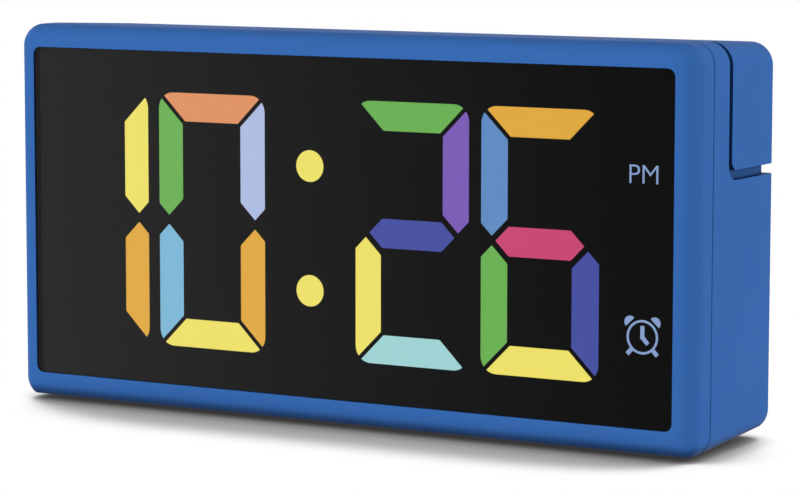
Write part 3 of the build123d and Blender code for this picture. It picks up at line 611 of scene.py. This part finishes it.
# %% Indicator places
film_air = 0.00008
to_millimetres = 1000
lens_back_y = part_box("display_lens")[1].y
film_front_y = lens_back_y + film_air


def middle(node):
    """The middle of a CAD node's front face."""
    low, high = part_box(node)
    return Vector(((low.x + high.x) / 2, low.y, (low.z + high.z) / 2))


print("film front at", round(film_front_y * to_millimetres, 3), "mm")

# %% [markdown]
# ### Flat pieces
# Plates and films are cut from sheet, and all are made alike: drawn flat, thickened, turned and put in place.
# A solidify modifier would thicken them too, but an extrusion in edit mode leaves a finished mesh.
# Its place goes into the mesh as well, so the piece keeps its origin where the frame's is.

# %% Flat pieces
weld_distance = 0.000001


def thicken(thickness):
    """Gives the flat shape in edit mode a thickness, away from the viewer, and leaves edit mode."""
    bpy.ops.mesh.select_all(action="SELECT")
    bpy.ops.mesh.extrude_region_move(TRANSFORM_OT_translate={"value": (0, thickness, 0)})
    bpy.ops.mesh.select_all(action="SELECT")
    bpy.ops.mesh.remove_doubles(threshold=weld_distance)
    bpy.ops.mesh.normals_make_consistent(inside=False)
    bpy.ops.object.mode_set(mode="OBJECT")


def put(piece, place, turn=0):
    """Turns a piece in the plane of the display, moves it into place and bakes both into its mesh."""
    bpy.ops.object.select_all(action="DESELECT")
    piece.select_set(True)
    bpy.context.view_layer.objects.active = piece
    bpy.ops.object.transform_apply(location=True, rotation=True, scale=True)
    piece.rotation_euler = (0, turn, 0)
    piece.location = place
    bpy.ops.object.transform_apply(location=True, rotation=True, scale=True)


def light_up(piece, name, node, slot):
    """Names a finished piece, gives it its finish and ties it to the case."""
    piece.name = name
    piece.data.name = name
    piece.data.materials.clear()
    piece.data.materials.append(finishes[slot])
    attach(piece, "case")
    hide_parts(node)
    size = [round(v * to_millimetres, 2) for v in piece.dimensions]
    print(name, len(piece.data.polygons), "faces,", size, "mm")


print("flat pieces weld within", weld_distance, "m")

# %% [markdown]
# ### Dark plates
# Each plate fills its window as the CAD node does: a rectangle with rounded corners for the word, a disc
# for the sign. Both start flat, get their outline in edit mode and are then thickened, as a card is cut
# before it is stacked.

# %% Dark plates
window_corner = 0.0006
corner_segments = 4
disc_points = 64
facing_front = (radians(90), 0, 0)

low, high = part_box("indicator_word")
bpy.ops.object.select_all(action="DESELECT")
bpy.ops.mesh.primitive_plane_add(size=1, rotation=facing_front)
word_plate = bpy.context.object
bpy.ops.object.mode_set(mode="EDIT")
bpy.ops.transform.resize(value=(high.x - low.x, 1, high.z - low.z))
bpy.ops.mesh.bevel(offset=window_corner, segments=corner_segments, affect="VERTICES")
thicken(high.y - low.y)
put(word_plate, middle("indicator_word"))
light_up(word_plate, "word_plate", "indicator_word", "mask_black")

low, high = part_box("alarm_symbol")
bpy.ops.mesh.primitive_circle_add(
    vertices=disc_points, radius=(high.x - low.x) / 2, fill_type="NGON", rotation=facing_front)
sign_plate = bpy.context.object
bpy.ops.object.mode_set(mode="EDIT")
thicken(high.y - low.y)
put(sign_plate, middle("alarm_symbol"))
light_up(sign_plate, "sign_plate", "alarm_symbol", "mask_black")

# %% [markdown]
# ### Lit word
# A clock of this kind says here whether it is before or after noon, so two plain letters stand for the word.
# The letters could be extruded as text, but a mesh can be measured. So the text is made a mesh, scaled until
# its capitals have the right height, thickened in edit mode, and only then moved to its place.

# %% Lit word
film_thickness = 0.00022
capital_height = 0.0034
letter_thinning = -0.012

bpy.ops.object.select_all(action="DESELECT")
bpy.ops.object.text_add(rotation=facing_front)
lit_word = bpy.context.object
lit_word.data.body = "PM"
lit_word.data.offset = letter_thinning
lit_word.data.align_x = "CENTER"
lit_word.data.align_y = "CENTER"
bpy.ops.object.convert(target="MESH")
lit_word = bpy.context.object
heights = [vertex.co.y for vertex in lit_word.data.vertices]
letter_scale = capital_height / (max(heights) - min(heights))
letter_middle = (max(heights) + min(heights)) / 2 * letter_scale
lit_word.scale = (letter_scale, letter_scale, letter_scale)
bpy.ops.object.transform_apply(location=True, rotation=True, scale=True)
bpy.ops.object.mode_set(mode="EDIT")
thicken(film_thickness)
word_middle = middle("indicator_word")
put(lit_word, (word_middle.x, film_front_y, word_middle.z - letter_middle))
light_up(lit_word, "lit_word", "indicator_word", "legend_light")

# %% [markdown]
# ### Lit alarm sign
# The sign is a small twin-bell clock: a ring, two hands, two bells and two feet. Each part is flat and
# simple, so each kind gets a helper that draws it upright: a strip, a ring or a half disc.

# %% Lit alarm sign parts
ring_radius = 0.0032
ring_line = 0.00043
bell_radius = 0.00115
bell_reach = 0.0037
foot_width = 0.0008
foot_start = 0.003
foot_end = 0.0045
hand_width = 0.0008
long_hand = 0.0021
short_hand = 0.0017
strip_corner = 0.0001


def strip(width, start, end):
    """A strip upwards from one height to another, with slightly softened corners."""
    bpy.ops.mesh.primitive_plane_add(size=1, rotation=facing_front)
    bpy.ops.object.mode_set(mode="EDIT")
    bpy.ops.transform.resize(value=(width, 1, end - start))
    bpy.ops.transform.translate(value=(0, 0, (start + end) / 2))
    bpy.ops.mesh.bevel(offset=strip_corner, segments=corner_segments, affect="VERTICES")
    thicken(film_thickness)
    return bpy.context.object


def ring():
    """A thin ring: a disc, inset by the width of its line, with the middle taken out."""
    bpy.ops.mesh.primitive_circle_add(
        vertices=disc_points, radius=ring_radius, fill_type="NGON", rotation=facing_front)
    bpy.ops.object.mode_set(mode="EDIT")
    bpy.ops.mesh.inset(thickness=ring_line)
    bpy.ops.mesh.delete(type="FACE")
    thicken(film_thickness)
    return bpy.context.object


def bell():
    """A half disc with its flat side down, cut from a disc and lifted to where it sits above the ring."""
    bpy.ops.mesh.primitive_circle_add(
        vertices=disc_points, radius=bell_radius, fill_type="NGON", rotation=facing_front)
    bpy.ops.object.mode_set(mode="EDIT")
    bpy.ops.mesh.bisect(plane_co=(0, 0, 0), plane_no=(0, 0, 1), clear_inner=True)
    bpy.ops.mesh.select_all(action="SELECT")
    bpy.ops.transform.translate(value=(0, 0, bell_reach))
    thicken(film_thickness)
    return bpy.context.object


print("sign reaches", round((bell_reach + bell_radius) * to_millimetres, 2), "mm from its middle")

# %% [markdown]
# The ring's middle is the turning point for all parts, so each one needs only an angle.
# They overlap a little where they meet. A union would cut them clean, but all glow alike, so a join will do.

# %% Lit alarm sign
bell_turn = radians(43)
foot_turn = radians(137)
hour_turn = radians(138)

sign_middle = middle("alarm_symbol")
sign_place = (sign_middle.x, film_front_y, sign_middle.z)
sign_parts = [
    (ring(), 0),
    (bell(), -bell_turn),
    (bell(), bell_turn),
    (strip(foot_width, foot_start, foot_end), -foot_turn),
    (strip(foot_width, foot_start, foot_end), foot_turn),
    (strip(hand_width, -hand_width / 2, long_hand), 0),
    (strip(hand_width, 0, short_hand), hour_turn),
]
for piece, turn in sign_parts:
    put(piece, sign_place, turn)
bpy.ops.object.select_all(action="DESELECT")
for piece, turn in sign_parts:
    piece.select_set(True)
lit_sign = sign_parts[0][0]
bpy.context.view_layer.objects.active = lit_sign
bpy.ops.object.join()
light_up(lit_sign, "lit_sign", "alarm_symbol", "legend_light")
